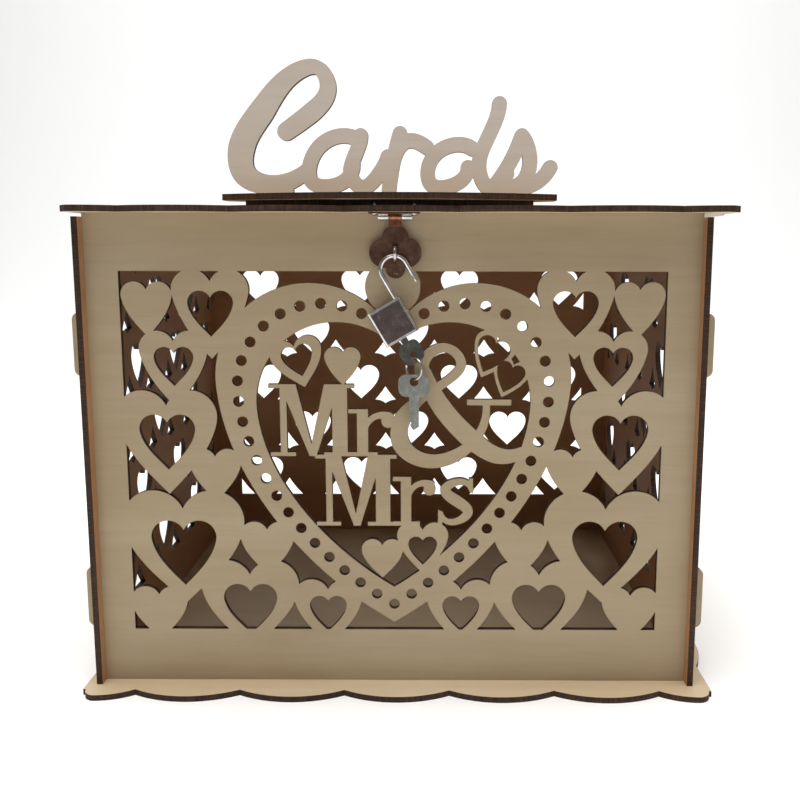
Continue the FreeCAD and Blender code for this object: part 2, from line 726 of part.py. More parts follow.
def wall_leaf(name, centre_x, width, depth, knuckles):
    """Leaf flat on the back panel's outer face, hanging from its knuckles."""
    face_y = "sizes.inner_depth / 2 + sizes.ply"
    gap = "(sizes.knuckle_radius + 0.4)"
    parts = [add_box(f"{name}_plate", width, "sizes.metal", f"{depth} - {gap}", f"{centre_x} - {width} / 2",
                     face_y, f"{PIN_DROP} - {depth}")]
    for index, (start, length) in enumerate(knuckles):
        parts.append(knuckle(f"{name}_knuckle{index}", centre_x, start, length, REAR_PIN_Y))
        parts.append(add_box(f"{name}_tongue{index}", length, "sizes.metal", f"{gap} + 1",
                             f"{centre_x} + {start}", face_y, f"{PIN_DROP} - {gap} - 1"))
    return add_union(f"{name}_body", parts)


def pin_bore(name, centre_x, width, pin_y):
    return add_rod(name, "sizes.pin_radius + sizes.pin_play", f"{width} + 4", f"{centre_x} - {width} / 2 - 2",
                   pin_y, PIN_DROP)


def screw_holes(name, places, direction):
    """Straight holes for the screws' shanks and heads through a leaf."""
    holes = []
    for x, y, z in places:
        start = Vector(x, y, z) - direction * 2
        holes.append(Part.makeCylinder(SCREW_SHANK + 0.1, 8, start, direction))
    feature = doc.addObject("Part::Feature", name)
    feature.Shape = Part.makeCompound(holes)
    return feature


def finish_leaf(label, body, bore, holes):
    """Cut the pin's bore and the screw holes from a leaf, and keep it as a sub-part."""
    bored = add_difference(f"{label}_bored", body, bore)
    leaf = add_difference(label, bored, holes)
    SUBPARTS.append(leaf)


def build_rear_hinges():
    """Two butt hinges: box leaf on the back panel, lid leaf under the lid, and a loose-fit pin."""
    outer = "(sizes.hinge_width / 2 - sizes.hinge_barrel / 2 - 0.2)"
    middle = [("(0 - sizes.hinge_barrel / 2)", "sizes.hinge_barrel")]
    ends = [("(0 - sizes.hinge_width / 2)", outer), ("(sizes.hinge_barrel / 2 + 0.2)", outer)]
    for side, sign in (("left", -1), ("right", 1)):
        centre = f"{sign} * sizes.hinge_place"
        bore_box = pin_bore(f"{side}_box_bore", centre, "sizes.hinge_width", REAR_PIN_Y)
        bore_lid = pin_bore(f"{side}_lid_bore", centre, "sizes.hinge_width", REAR_PIN_Y)
        box_holes = [(x, half_depth, z) for x, z in hinge_box_screw_places() if x * sign > 0]
        lid_holes = [(x, y, wall_top) for x, y in hinge_lid_screw_places() if x * sign > 0]
        finish_leaf(f"{side}_hinge_box_leaf", wall_leaf(f"{side}_box", centre, "sizes.hinge_width",
                                                        "sizes.hinge_leaf", ends), bore_box,
                    screw_holes(f"{side}_box_holes", box_holes, Vector(0, 1, 0)))
        finish_leaf(f"{side}_hinge_lid_leaf", lid_leaf(f"{side}_lid", centre, "sizes.hinge_width",
                                                       "sizes.hinge_leaf", REAR_PIN_Y, 1, middle), bore_lid,
                    screw_holes(f"{side}_lid_holes", lid_holes, Vector(0, 0, -1)))
        pin = add_rod(f"{side}_hinge_pin", "sizes.pin_radius", "sizes.hinge_width",
                      f"{centre} - sizes.hinge_width / 2", REAR_PIN_Y, PIN_DROP)
        pin.Label = f"{side}_hinge_pin"
        SUBPARTS.append(pin)


def hinge_box_screw_places():
    """Screws through the rear hinges' box leaves, in the back panel's plane."""
    reach = 0.34 * size("hinge_width")
    z = hinge_z - 0.62 * size("hinge_leaf")
    return [(side * size("hinge_place") + end * reach, z) for side in (-1, 1) for end in (-1, 1)]


def screw(length):
    """Round-head screw with a cross slot: head below z = 0, shank up to its pointed end."""
    profile = [
        Part.Arc(Vector(0, 0, -0.9), Vector(1.2, 0, -0.62), Vector(SCREW_HEAD, 0, 0)).toShape(),
        Part.makePolygon([Vector(SCREW_HEAD, 0, 0), Vector(SCREW_SHANK - 0.1, 0, 0),
                          Vector(SCREW_SHANK - 0.1, 0, length - 1), Vector(0, 0, length), Vector(0, 0, -0.9)]),
    ]
    face = Part.Face(Part.Wire(profile[:1] + profile[1].Edges))
    body = face.revolve(Vector(), Vector(0, 0, 1), 360)
    for angle in (0, 90):
        slot = Part.makeBox(2.2, 0.36, 0.5, Vector(-1.1, -0.18, -1.1))
        slot.rotate(Vector(), Vector(0, 0, 1), angle)
        body = body.cut(slot)
    return body.Solids[0] if body.Solids else Part.makeSolid(body)


def screw_group(label, length, places, direction):
    """Identical screws as one group of solids, each driven from its place along direction."""
    screws = []
    for place in places:
        copy = screw(length)
        copy.Placement = Placement(Vector(*place), Rotation(Vector(0, 0, 1), direction))
        screws.append(copy)
    add_shape(label, Part.makeCompound(screws))


def build_screws():
    metal = size("metal")
    box_places = [(x, half_depth + metal, z) for x, z in hinge_box_screw_places()]
    lid_places = [(x, y, wall_top - metal) for x, y in hinge_lid_screw_places()]
    hasp_places = [(x, y, wall_top - metal) for x, y in hasp_screw_places()]
    screw_group("hinge_box_screws", HINGE_SCREW_LENGTH + metal, box_places, Vector(0, -1, 0))
    screw_group("hinge_lid_screws", HINGE_SCREW_LENGTH + metal, lid_places, Vector(0, 0, 1))
    screw_group("hasp_screws", HASP_SCREW_LENGTH + metal, hasp_places, Vector(0, 0, 1))
    staple_places = [(x, front - metal, z) for x, z in staple_screw_places()]
    screw_group("staple_screws", 2.4 + metal, staple_places, Vector(0, 1, 0))


# ---------------------------------------------------------------- hasp and staple


def build_hasp_leaf():
    """Leaf under the lid's front edge with two outer knuckles, and the hasp's pin."""
    centre = "sizes.hasp_place"
    ends = [("(0 - 8)", "4.6"), ("3.4", "4.6")]
    body = lid_leaf("hasp_lid", centre, "sizes.hasp_width", "sizes.hasp_leaf", HASP_PIN_Y, -1, ends)
    bore = pin_bore("hasp_bore", centre, "16", HASP_PIN_Y)
    holes = [(x, y, wall_top) for x, y in hasp_screw_places()]
    finish_leaf("hasp_leaf", body, bore, screw_holes("hasp_holes", holes, Vector(0, 0, -1)))
    pin = add_rod("hasp_pin", "sizes.pin_radius", "16.6", f"{centre} - 8.3", HASP_PIN_Y, PIN_DROP)
    pin.Label = "hasp_pin"
    SUBPARTS.append(pin)


def build_hasp_strap():
    """Trefoil strap that hangs from the hasp's pin, with an upright slot for the staple."""
    thick = size("strap_metal")
    pin = hinge_z - ply
    lobes = [
        disc(0, pin - 10.4, 6.6),
        disc(-5.4, pin - 17.0, 7.2),
        disc(5.4, pin - 17.0, 7.2),
        disc(0, pin - 19.6, 6.4),
        rectangle(-5.4, pin - 24.2, 5.4, pin - 10.4),
        rectangle(-3.1, pin - 6, 3.1, pin),
    ]
    low = size("staple_height") - size("staple_half") - size("staple_wire") - 0.8
    high = size("staple_height") + size("staple_half") + size("staple_wire") + 0.8
    slot = size("staple_wire") + 0.5
    hole = [rectangle(-slot, low + slot, slot, high - slot), disc(0, low + slot, slot), disc(0, high - slot, slot)]
    plate = thicken(lobes, Vector(0, thick, 0), hole)
    plate.translate(Vector(hasp_x, hasp_pin_y - thick / 2, ply))
    barrel = Part.makeCylinder(size("knuckle_radius"), 6.2, Vector(hasp_x - 3.1, hasp_pin_y, hinge_z),
                               Vector(1, 0, 0))
    bore = Part.makeCylinder(size("pin_radius") + size("pin_play"), 12,
                             Vector(hasp_x - 6, hasp_pin_y, hinge_z), Vector(1, 0, 0))
    strap = plate.fuse(barrel).cut(bore).removeSplitter()
    add_shape("hasp_strap", strap.Solids[0])


def staple_screw_places():
    """Screws at the top and bottom of the staple plate, in the front panel's plane."""
    middle = ply + size("staple_height")
    return [(hasp_x, middle + 7.4), (hasp_x, middle - 9.2)]


def build_staple():
    """Oval plate on the front panel and the wire staple that stands out of it."""
    metal = size("metal")
    middle = size("staple_height")
    half = size("staple_half")
    wire = size("staple_wire")
    outline = [disc(0, middle + 6.6, 3.4), disc(0, middle - 7.6, 4.6),
               rectangle(-3.4, middle - 8, 3.4, middle + 6.6)]
    plate = thicken(outline, Vector(0, metal, 0))
    for end in (-1, 1):
        plate = plate.cut(Part.makeCylinder(wire + 0.05, 4, Vector(0, -1, middle + end * half), Vector(0, 1, 0)))
    for x, z in staple_screw_places():
        plate = plate.cut(Part.makeCylinder(SCREW_SHANK + 0.1, 4, Vector(x - hasp_x, -1, z - ply),
                                            Vector(0, 1, 0)))
    add_shape("staple_plate", plate.Solids[0], Placement(Vector(hasp_x, front - metal, ply), Rotation()))

    reach = size("staple_reach")
    upper = Vector(0, -reach, middle + half)
    lower = Vector(0, -reach, middle - half)
    path = Part.Wire([
        Part.makeLine(Vector(0, 1.5, middle + half), upper),
        Part.Arc(upper, Vector(0, -reach - half, middle), lower).toShape(),
        Part.makeLine(lower, Vector(0, 1.5, middle - half)),
    ])
    section = Part.Wire(Part.Circle(Vector(0, 1.5, middle + half), Vector(0, 1, 0), wire).toShape())
    loop = path.makePipeShell([section], True, False)
    add_shape("staple", loop.Solids[0], Placement(Vector(hasp_x, front, ply), Rotation()))


# ---------------------------------------------------------------- padlock
# The padlock's own frame: origin on the case's top face in the middle, +Z up the shackle,
# +X to the long leg, +Y to the back. It hangs tilted from the staple.

leg_x = size("bow_radius")
wire = size("wire_radius")
tilt = size("lock_tilt")
lock_y = front - size("lock_front")
bow_centre_z = (ply + size("staple_height") - size("staple_half") + size("staple_wire") + wire + 0.12
                - size("bow_radius"))
lock_turn = Rotation(Vector(0, 1, 0), -tilt)
bow_centre = Vector(hasp_x - 0.5, lock_y, bow_centre_z)
open_bow_centre = Vector(2 * leg_x, 0, size("long_leg"))
lock_place = Placement(bow_centre - lock_turn.multVec(open_bow_centre), lock_turn)


def origin_plane(body, role):
    return next(feature for feature in body.Origin.OriginFeatures if feature.Role == role)


def add_sketch(body, name, role):
    """Sketch on one of the body's own origin planes."""
    sketch = body.newObject("Sketcher::SketchObject", name)
    sketch.AttachmentSupport = [(origin_plane(body, role), "")]
    sketch.MapMode = "FlatFace"
    return sketch


def sketch_rectangle(sketch, width, height, width_expression, height_expression):
    """Rectangle centred on the sketch's origin, its sides bound to the sheet."""
    corners = [(-width / 2, -height / 2), (width / 2, -height / 2), (width / 2, height / 2),
               (-width / 2, height / 2)]
    for index in range(4):
        start = Vector(*corners[index], 0)
        end = Vector(*corners[(index + 1) % 4], 0)
        sketch.addGeometry(Part.LineSegment(start, end), False)
    for index in range(4):
        sketch.addConstraint(Sketcher.Constraint("Coincident", index, 2, (index + 1) % 4, 1))
    for index, kind in enumerate(("Horizontal", "Vertical", "Horizontal", "Vertical")):
        sketch.addConstraint(Sketcher.Constraint(kind, index))
    sketch.addConstraint(Sketcher.Constraint("Symmetric", 0, 1, 1, 2, -1, 1))
    width_constraint = sketch.addConstraint(Sketcher.Constraint("DistanceX", 0, 1, 0, 2, width))
    height_constraint = sketch.addConstraint(Sketcher.Constraint("DistanceY", 1, 1, 1, 2, height))
    sketch.setExpression(f"Constraints[{width_constraint}]", width_expression)
    sketch.setExpression(f"Constraints[{height_constraint}]", height_expression)


def sketch_circle(sketch, x, radius, x_expression, radius_expression):
    """Circle on the sketch's horizontal axis, bound to the sheet."""
    circle = sketch.addGeometry(Part.Circle(Vector(x, 0, 0), Vector(0, 0, 1), radius), False)
    radius_constraint = sketch.addConstraint(Sketcher.Constraint("Radius", circle, radius))
    sketch.setExpression(f"Constraints[{radius_constraint}]", radius_expression)
    if x_expression is None:
        sketch.addConstraint(Sketcher.Constraint("Coincident", circle, 3, -1, 1))
        return
    sketch.addConstraint(Sketcher.Constraint("PointOnObject", circle, 3, -1))
    place = sketch.addConstraint(Sketcher.Constraint("DistanceX", -1, 1, circle, 3, x))
    sketch.setExpression(f"Constraints[{place}]", x_expression)


def add_round_pocket(body, name, x, radius, x_expression, radius_expression, depth, from_top=True):
    """Blind round bore down from the case's top face, or up from its bottom face."""
    sketch = add_sketch(body, f"{name}_sketch", "XY_Plane")
    sketch_circle(sketch, x, radius, x_expression, radius_expression)
    if not from_top:
        sketch.setExpression(".AttachmentOffset.Base.z", "0 - sizes.lock_height")
    pocket = body.newObject("PartDesign::Pocket", name)
    pocket.Profile = sketch
    pocket.Reversed = not from_top
    pocket.setExpression("Length", depth)
    return pocket


def build_case():
    """Padlock case: a block with rounded edges, two shackle bores, a bolt channel and a plug bore."""
    body = doc.addObject("PartDesign::Body", "padlock_case")
    body.Label = "padlock_case"
    sketch = add_sketch(body, "case_section", "XY_Plane")
    sketch_rectangle(sketch, size("lock_width"), size("lock_depth"), "sizes.lock_width", "sizes.lock_depth")
    pad = body.newObject("PartDesign::Pad", "case_block")
    pad.Profile = sketch
    pad.Reversed = True
    pad.setExpression("Length", "sizes.lock_height")
    doc.recompute()
    long_edges = [f"Edge{index + 1}" for index, edge in enumerate(pad.Shape.Edges)
                  if abs(edge.BoundBox.ZLength - size("lock_height")) < 0.01]
    fillet = body.newObject("PartDesign::Fillet", "case_rounding")
    fillet.Base = (pad, long_edges)
    fillet.Radius = 1.0
    doc.recompute()
    solid_volume = fillet.Shape.Volume
    bore = "sizes.wire_radius + sizes.leg_gap"
    add_round_pocket(body, "long_bore", leg_x, wire, "sizes.bow_radius", bore,
                     "sizes.leg_inside + sizes.shackle_lift + 5")
    add_round_pocket(body, "short_bore", -leg_x, wire, "0 - sizes.bow_radius", bore, "5")
    add_round_pocket(body, "plug_bore", 0, size("plug_radius"), None, "sizes.plug_radius + 0.05",
                     "sizes.plug_length", from_top=False)
    channel = add_sketch(body, "bolt_channel_sketch", "YZ_Plane")
    sketch_circle_at(channel, 0, -BOLT_DEPTH, BOLT_RADIUS + 0.1)
    cross = body.newObject("PartDesign::Pocket", "bolt_channel")
    cross.Profile = channel
    cross.Length = leg_x
    cross.Reversed = False
    doc.recompute()
    if body.Shape.Volume > solid_volume - 250:
        raise RuntimeError("a bore of the padlock case cut nothing")
    panel = add_sketch(body, "face_panel_sketch", "XZ_Plane")
    face_width = size("lock_width") - 2.4
    face_height = size("lock_height") - 2.4
    sketch_rectangle(panel, face_width, face_height, "sizes.lock_width - 2.4", "sizes.lock_height - 2.4")
    panel.setExpression(".AttachmentOffset.Base.y", "0 - sizes.lock_height / 2")
    panel.setExpression(".AttachmentOffset.Base.z", "sizes.lock_depth / 2 - 0.25")
    recess = body.newObject("PartDesign::Pocket", "face_panel")
    recess.Profile = panel
    recess.Length = 1.0
    recess.Reversed = True
    before = body.Shape.Volume
    doc.recompute()
    if abs(before - body.Shape.Volume - 0.25 * face_width * face_height) > 1:
        raise RuntimeError("the padlock's face panel cut the wrong amount")
    body.Placement = lock_place
    SUBPARTS.append(body)


BOLT_DEPTH = 1.9
BOLT_RADIUS = 0.8


def sketch_circle_at(sketch, x, y, radius):
    """Circle at a fixed point of the sketch."""
    circle = sketch.addGeometry(Part.Circle(Vector(x, y, 0), Vector(0, 0, 1), radius), False)
    sketch.addConstraint(Sketcher.Constraint("Radius", circle, radius))
    sketch.addConstraint(Sketcher.Constraint("DistanceY", -1, 1, circle, 3, y))
    sketch.addConstraint(Sketcher.Constraint("PointOnObject", circle, 3, -2))


def build_shackle():
    """Bent wire: long leg down into the case, bow swung clear of it, free leg with its notch."""
    inside = size("leg_inside")
    long_leg = size("long_leg")
    short_leg = size("short_leg")
    foot = Vector(leg_x, 0, -inside)
    rise = Vector(leg_x, 0, long_leg)
    crown = Vector(2 * leg_x, 0, long_leg + leg_x)
    fall = Vector(3 * leg_x, 0, long_leg)
    end = Vector(3 * leg_x, 0, long_leg - short_leg)
    path = Part.Wire([Part.makeLine(foot, rise), Part.Arc(rise, crown, fall).toShape(), Part.makeLine(fall, end)])
    section = Part.Wire(Part.Circle(foot, Vector(0, 0, 1), wire).toShape())
    rod = path.makePipeShell([section], True, False).Solids[0]
    notch_z = -BOLT_DEPTH + size("shackle_lift")
    notch = Part.makeBox(wire, 4 * wire, 2 * BOLT_RADIUS + 0.4,
                         Vector(3 * leg_x - wire - 0.3, -2 * wire, notch_z - BOLT_RADIUS - 0.2))
    add_shape("padlock_shackle", rod.cut(notch).Solids[0], lock_place)


def build_lock_insides():
    """Spring seat under the long leg, the spring below it, the bolt and the plug."""
    inside = size("leg_inside")
    lift = size("shackle_lift")
    seat = Part.makeCylinder(wire, 1.2, Vector(leg_x, 0, -inside - 1.25))
    add_shape("shackle_seat", seat, lock_place)

    turns = 3
    low = -inside - lift - 4.6
    helix = Part.makeHelix(0.75, turns * 0.75, wire - 0.35)
    helix.translate(Vector(leg_x, 0, low))
    section = Part.Wire(Part.Circle(Vector(leg_x + wire - 0.35, 0, low), Vector(0, 1, 0), 0.2).toShape())
    coil = Part.Wire(helix.Edges).makePipeShell([section], True, True)
    add_shape("shackle_spring", coil.Solids[0], lock_place)

    bolt = Part.makeCylinder(BOLT_RADIUS, 3.4, Vector(-leg_x + wire + 0.25, 0, -BOLT_DEPTH), Vector(1, 0, 0))
    add_shape("padlock_bolt", bolt, lock_place)


def key_frame():
    """Frame of the key in the lock: origin on the case's bottom face, turned about the plug."""
    turn = Rotation(Vector(0, 0, 1), size("key_turned"))
    return lock_place.multiply(Placement(Vector(0, 0, -size("lock_height")), turn))


def key_plate(blade_length, blade_width, bow_width):
    """Flat key in its own frame: blade up into the plug, shoulder, and a rounded bow below."""
    blade = blade_width / 2
    bow_half = bow_width / 2
    bow_height = size("key_bow_height")
    corner = 3.6
    neck = KEY_NECK
    teeth = [(blade, 0), (blade, blade_length - 6.2), (blade - 0.8, blade_length - 5.4),
             (blade - 0.2, blade_length - 4.6), (blade - 1.1, blade_length - 3.6),
             (blade - 0.4, blade_length - 2.6), (blade - 0.9, blade_length - 1.4), (0.3, blade_length),
             (-blade, blade_length - 1.6), (-blade, 0)]
    shank = polygon(*teeth)
    top = -neck
    low = top - bow_height
    bow = [
        rectangle(-bow_half + corner, low, bow_half - corner, top),
        rectangle(-bow_half, low + corner, bow_half, top - corner),
        disc(-bow_half + corner, low + corner, corner),
        disc(bow_half - corner, low + corner, corner),
        disc(-bow_half + corner, top - corner, corner),
        disc(bow_half - corner, top - corner, corner),
    ]
    shoulder = rectangle(-blade, top - 1, blade, 0.01)
    thick = size("key_metal")
    hole = disc(0, low + KEY_HOLE_RISE, size("key_hole"))
    return thicken([shank, shoulder] + bow, Vector(0, thick, 0), [hole], Vector(0, -thick / 2, 0))


KEY_NECK = 2.6
KEY_HOLE_RISE = 3.6
KEY_IN_PLUG = 6.6
SPARE_BLADE = 14.0


def build_plug_and_key():
    """Turning plug with its keyway, and the key that stands in it."""
    plug = Part.makeCylinder(size("plug_radius"), size("plug_length") - 0.3, Vector())
    keyway = Part.makeBox(size("key_blade") + 0.3, size("key_metal") + 0.3, KEY_IN_PLUG + 0.4,
                          Vector(-size("key_blade") / 2 - 0.15, -size("key_metal") / 2 - 0.15, -0.2))
    add_shape("padlock_plug", plug.cut(keyway).Solids[0], key_frame())
    add_shape("key_in_lock", key_plate(KEY_IN_PLUG, size("key_blade"), size("key_bow")), key_frame())


def key_hole_centre():
    """Middle of the hole in the bow of the key in the lock."""
    local = Vector(0, 0, -KEY_NECK - size("key_bow_height") + KEY_HOLE_RISE)
    return key_frame().multVec(local)


ring_top = key_hole_centre() + Vector(0.2, 0, -0.9)
ring_centre = ring_top - Vector(0, 0, size("ring_radius"))
ring_bottom = ring_centre - Vector(0, 0, size("ring_radius"))


def build_ring_and_spare_key():
    """Key ring through the bow's hole, and the second key hanging from it."""
    ring = doc.addObject("Part::Torus", "key_ring")
    ring.Label = "key_ring"
    bind(ring, {"Radius1": "sizes.ring_radius", "Radius2": "sizes.ring_wire"})
    upright = Rotation(Vector(0, 0, 1), Vector(0, 1, 0))
    turned = Rotation(Vector(0, 0, 1), size("ring_turned"))
    ring.Placement = Placement(ring_centre, turned.multiply(upright))
    SUBPARTS.append(ring)

    spare = key_plate(SPARE_BLADE, size("spare_blade"), size("spare_bow"))
    hole_z = KEY_NECK + size("key_bow_height") - KEY_HOLE_RISE
    drop = 1.0
    upside_down = Rotation(Vector(0, 1, 0), 180)
    add_shape("spare_key", spare, Placement(ring_bottom - Vector(0, 0, hole_z + drop), upside_down))


# ---------------------------------------------------------------- build, check and write

build_base()
build_front_panel()
build_back_panel()
build_side_panels()
build_lid()
build_sign_boards()
build_sign()
build_rear_hinges()
build_hasp_leaf()
build_hasp_strap()
build_staple()
build_screws()
build_case()
build_shackle()
build_lock_insides()
build_plug_and_key()
build_ring_and_spare_key()
doc.recompute()

for item in doc.Objects:
    if "Invalid" in item.State or "Error" in item.State:
        raise RuntimeError(f"{item.Label} did not build: {item.State}")
for subpart in SUBPARTS:
    if subpart.Shape.isNull() or not subpart.Shape.isValid():
        raise RuntimeError(f"{subpart.Label} has no valid shape")

os.makedirs("parts", exist_ok=True)
for subpart in SUBPARTS:
    subpart.Shape.exportStep(f"parts/{subpart.Label}.step")
    box = subpart.Shape.BoundBox
    print(f"{subpart.Label}: {len(subpart.Shape.Solids)} solid(s), volume {subpart.Shape.Volume:.1f}, "
          f"x {box.XMin:.1f}..{box.XMax:.1f} y {box.YMin:.1f}..{box.YMax:.1f} z {box.ZMin:.1f}..{box.ZMax:.1f}")
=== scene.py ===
import math

import bpy
from mathutils import Matrix, Vector

# Wedding card box of laser-cut plywood with a hasp, a small open padlock and two keys.

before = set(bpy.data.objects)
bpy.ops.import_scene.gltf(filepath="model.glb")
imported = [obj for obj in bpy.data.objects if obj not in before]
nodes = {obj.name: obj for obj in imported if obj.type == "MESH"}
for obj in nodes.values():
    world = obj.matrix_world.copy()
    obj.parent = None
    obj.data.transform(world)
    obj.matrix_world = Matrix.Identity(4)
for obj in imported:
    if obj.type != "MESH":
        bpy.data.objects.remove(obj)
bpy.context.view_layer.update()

# ---------------------------------------------------------------- node helpers


class Graph:
    """Short calls for building a material's node tree."""

    def __init__(self, name):
        self.material = bpy.data.materials.new(name)
        self.material.use_nodes = True
        self.tree = self.material.node_tree
        self.tree.nodes.clear()
        self.output = self.tree.nodes.new("ShaderNodeOutputMaterial")
        self.shader = self.tree.nodes.new("ShaderNodeBsdfPrincipled")
        self.link(self.shader.outputs["BSDF"], self.output.inputs["Surface"])

    def node(self, kind, inputs=None, **settings):
        made = self.tree.nodes.new(kind)
        for name, value in settings.items():
            setattr(made, name, value)
        for name, value in (inputs or {}).items():
            if isinstance(value, bpy.types.NodeSocket):
                self.link(value, made.inputs[name])
            else:
                made.inputs[name].default_value = value
        return made

    def link(self, source, target):
        self.tree.links.new(source, target)

    def place(self, scale=(1, 1, 1)):
        """Object coordinates, stretched by scale."""
        coords = self.node("ShaderNodeTexCoord")
        mapping = self.node("ShaderNodeMapping", {"Vector": coords.outputs["Object"], "Scale": scale})
        return mapping.outputs["Vector"]

    def noise(self, vector, scale, detail=4.0, roughness=0.55, distortion=0.0):
        made = self.node("ShaderNodeTexNoise", {"Vector": vector, "Scale": scale, "Detail": detail,
                                                "Roughness": roughness, "Distortion": distortion})
        return made.outputs["Fac"]

    def ramp(self, value, stops):
        """Colour ramp from (position, colour) stops."""
        made = self.node("ShaderNodeValToRGB", {"Fac": value})
        elements = made.color_ramp.elements
        while len(elements) < len(stops):
            elements.new(0.5)
        for element, (position, colour) in zip(elements, stops):
            element.position = position
            element.color = (*colour, 1) if len(colour) == 3 else colour
        return made.outputs["Color"]

    def fade(self, value, low, high, to_low=0.0, to_high=1.0):
        made = self.node("ShaderNodeMapRange", {"Value": value, "From Min": low, "From Max": high,
                                                "To Min": to_low, "To Max": to_high})
        return made.outputs["Result"]

    def math(self, kind, first, second):
        made = self.node("ShaderNodeMath", operation=kind)
        for index, value in enumerate((first, second)):
            if isinstance(value, bpy.types.NodeSocket):
                self.link(value, made.inputs[index])
            else:
                made.inputs[index].default_value = value
        return made.outputs["Value"]

    def mix(self, share, first, second, kind="MIX"):
        made = self.node("ShaderNodeMix", data_type="RGBA", blend_type=kind)
        for index, value in ((0, share), (6, first), (7, second)):
            if isinstance(value, bpy.types.NodeSocket):
                self.link(value, made.inputs[index])
            elif isinstance(value, (int, float)):
                made.inputs[index].default_value = value
            else:
                made.inputs[index].default_value = (*value, 1)
        return made.outputs[2]

    def bump(self, height, strength, distance):
        made = self.node("ShaderNodeBump", {"Height": height, "Strength": strength, "Distance": distance})
        self.link(made.outputs["Normal"], self.shader.inputs["Normal"])

    def colour(self, value):
        self.link(value, self.shader.inputs["Base Color"])

    def rough(self, value):
        self.link(value, self.shader.inputs["Roughness"])

    def edge_mask(self, radius):
        """1 within radius of a sharp edge, falling to 0 on open faces."""
        bevel = self.node("ShaderNodeBevel", {"Radius": radius}, samples=6)
        geometry = self.node("ShaderNodeNewGeometry")
        same = self.node("ShaderNodeVectorMath", {0: bevel.outputs["Normal"], 1: geometry.outputs["Normal"]},
                         operation="DOT_PRODUCT")
        return self.fade(same.outputs["Value"], 0.75, 0.999, 1.0, 0.0)


# ---------------------------------------------------------------- plywood


def plywood_face(name, grain, light, dark, warm):
    """Sanded birch face: fine long grain, soft figure, small flecks and a faint scorched rim."""
    graph = Graph(name)
    stretch = [38.0, 38.0, 38.0]
    stretch["XYZ".index(grain)] = 2.2
    fine = graph.noise(graph.place(tuple(stretch)), 22.0, 6.0, 0.6)
    long_lines = graph.noise(graph.place(tuple(stretch)), 5.0, 3.0, 0.5, 0.6)
    slow = [5.0, 5.0, 5.0]
    slow["XYZ".index(grain)] = 1.6
    figure = graph.noise(graph.place(tuple(slow)), 3.2, 3.0, 0.5, 1.2)
    blotch = graph.noise(graph.place(), 9.0, 2.0)
    tone = graph.ramp(figure, [(0.25, dark), (0.6, light), (0.8, light)])
    lines = graph.ramp(long_lines, [(0.35, (0.91, 0.90, 0.88)), (0.62, (1.0, 1.0, 1.0))])
    pores = graph.ramp(fine, [(0.33, (0.86, 0.83, 0.78)), (0.48, (1.0, 1.0, 1.0))])
    wood = graph.mix(0.5, tone, lines, "MULTIPLY")
    wood = graph.mix(0.3, wood, pores, "MULTIPLY")
    wood = graph.mix(graph.fade(blotch, 0.45, 0.75, 0.0, 0.3), wood, warm)
    rim = graph.edge_mask(0.0007)
    wood = graph.mix(graph.math("MULTIPLY", rim, 0.55), wood, (0.16, 0.085, 0.035))
    graph.colour(wood)
    graph.rough(graph.fade(fine, 0.2, 0.8, 0.48, 0.66))
    graph.shader.inputs["Specular IOR Level"].default_value = 0.28
    graph.bump(fine, 0.22, 0.0003)
    return graph.material


def scorched_edge(name, axis):
    """Laser-cut edge: three plies burnt dark brown, with fine streaks through the thickness."""
    graph = Graph(name)
    across = [260.0, 260.0, 260.0]
    across["XYZ".index(axis)] = 24.0
    streaks = graph.noise(graph.place(tuple(across)), 5.0, 4.0, 0.65)
    layered = [6.0, 6.0, 6.0]
    layered["XYZ".index(axis)] = 330.0
    plies = graph.noise(graph.place(tuple(layered)), 1.4, 1.0)
    burnt = graph.ramp(streaks, [(0.32, (0.010, 0.005, 0.003)), (0.52, (0.036, 0.017, 0.009)),
                                 (0.76, (0.105, 0.048, 0.022))])
    bands = graph.ramp(plies, [(0.4, (0.7, 0.62, 0.55)), (0.6, (1.35, 1.25, 1.15))])
    graph.colour(graph.mix(0.6, burnt, bands, "MULTIPLY"))
    graph.rough(graph.fade(streaks, 0.2, 0.8, 0.55, 0.8))
    graph.shader.inputs["Specular IOR Level"].default_value = 0.3
    graph.bump(streaks, 0.35, 0.0002)
    return graph.material


SQUARE_ON = 0.9


def paint_board(node, axis, face, edge):
    """Broad faces of a board get one material and its cut edges the other."""
    board = nodes[node]
    board.data.materials.clear()
    board.data.materials.append(face)
    board.data.materials.append(edge)
    index = "XYZ".index(axis)
    for polygon in board.data.polygons:
        polygon.material_index = 0 if abs(polygon.normal[index]) > SQUARE_ON else 1


PALE = (0.43, 0.345, 0.225)
HONEY = (0.38, 0.29, 0.18)
AMBER = (0.39, 0.29, 0.165)
# Inner tones are painted shade: the inside of the box gets darker, warmer copies of the veneer.
SHADED_INSIDE_LIGHT = (0.47, 0.25, 0.12)
SHADED_INSIDE_DARK = (0.38, 0.19, 0.09)

wall_face = plywood_face("wall_face", "X", PALE, HONEY, AMBER)
shaded_inner_face = plywood_face("shaded_inner_face", "X", SHADED_INSIDE_LIGHT, SHADED_INSIDE_DARK, (0.45, 0.22, 0.09))
side_face = plywood_face("side_face", "Y", PALE, HONEY, AMBER)
shaded_side_inner_face = plywood_face("shaded_side_inner_face", "Y", SHADED_INSIDE_LIGHT, SHADED_INSIDE_DARK, (0.45, 0.22, 0.09))
# Horizontal boards get a lighter copy of the veneer than the walls: painted light from above, while the
# walls keep the darker copy.
top_face_painted_light = plywood_face("top_face_painted_light", "X", (0.57, 0.46, 0.32), (0.51, 0.39, 0.25), (0.53, 0.39, 0.22))
# The sign gets a lighter, cooler copy: painted light where it stands clear of the lid's shade, with a cooler
# tone of its own.
sign_face_painted_light = plywood_face("sign_face_painted_light", "X", (0.56, 0.49, 0.435), (0.51, 0.44, 0.37), (0.54, 0.45, 0.34))
edges = {axis: scorched_edge(f"scorched_edge_{axis.lower()}", axis) for axis in "XYZ"}

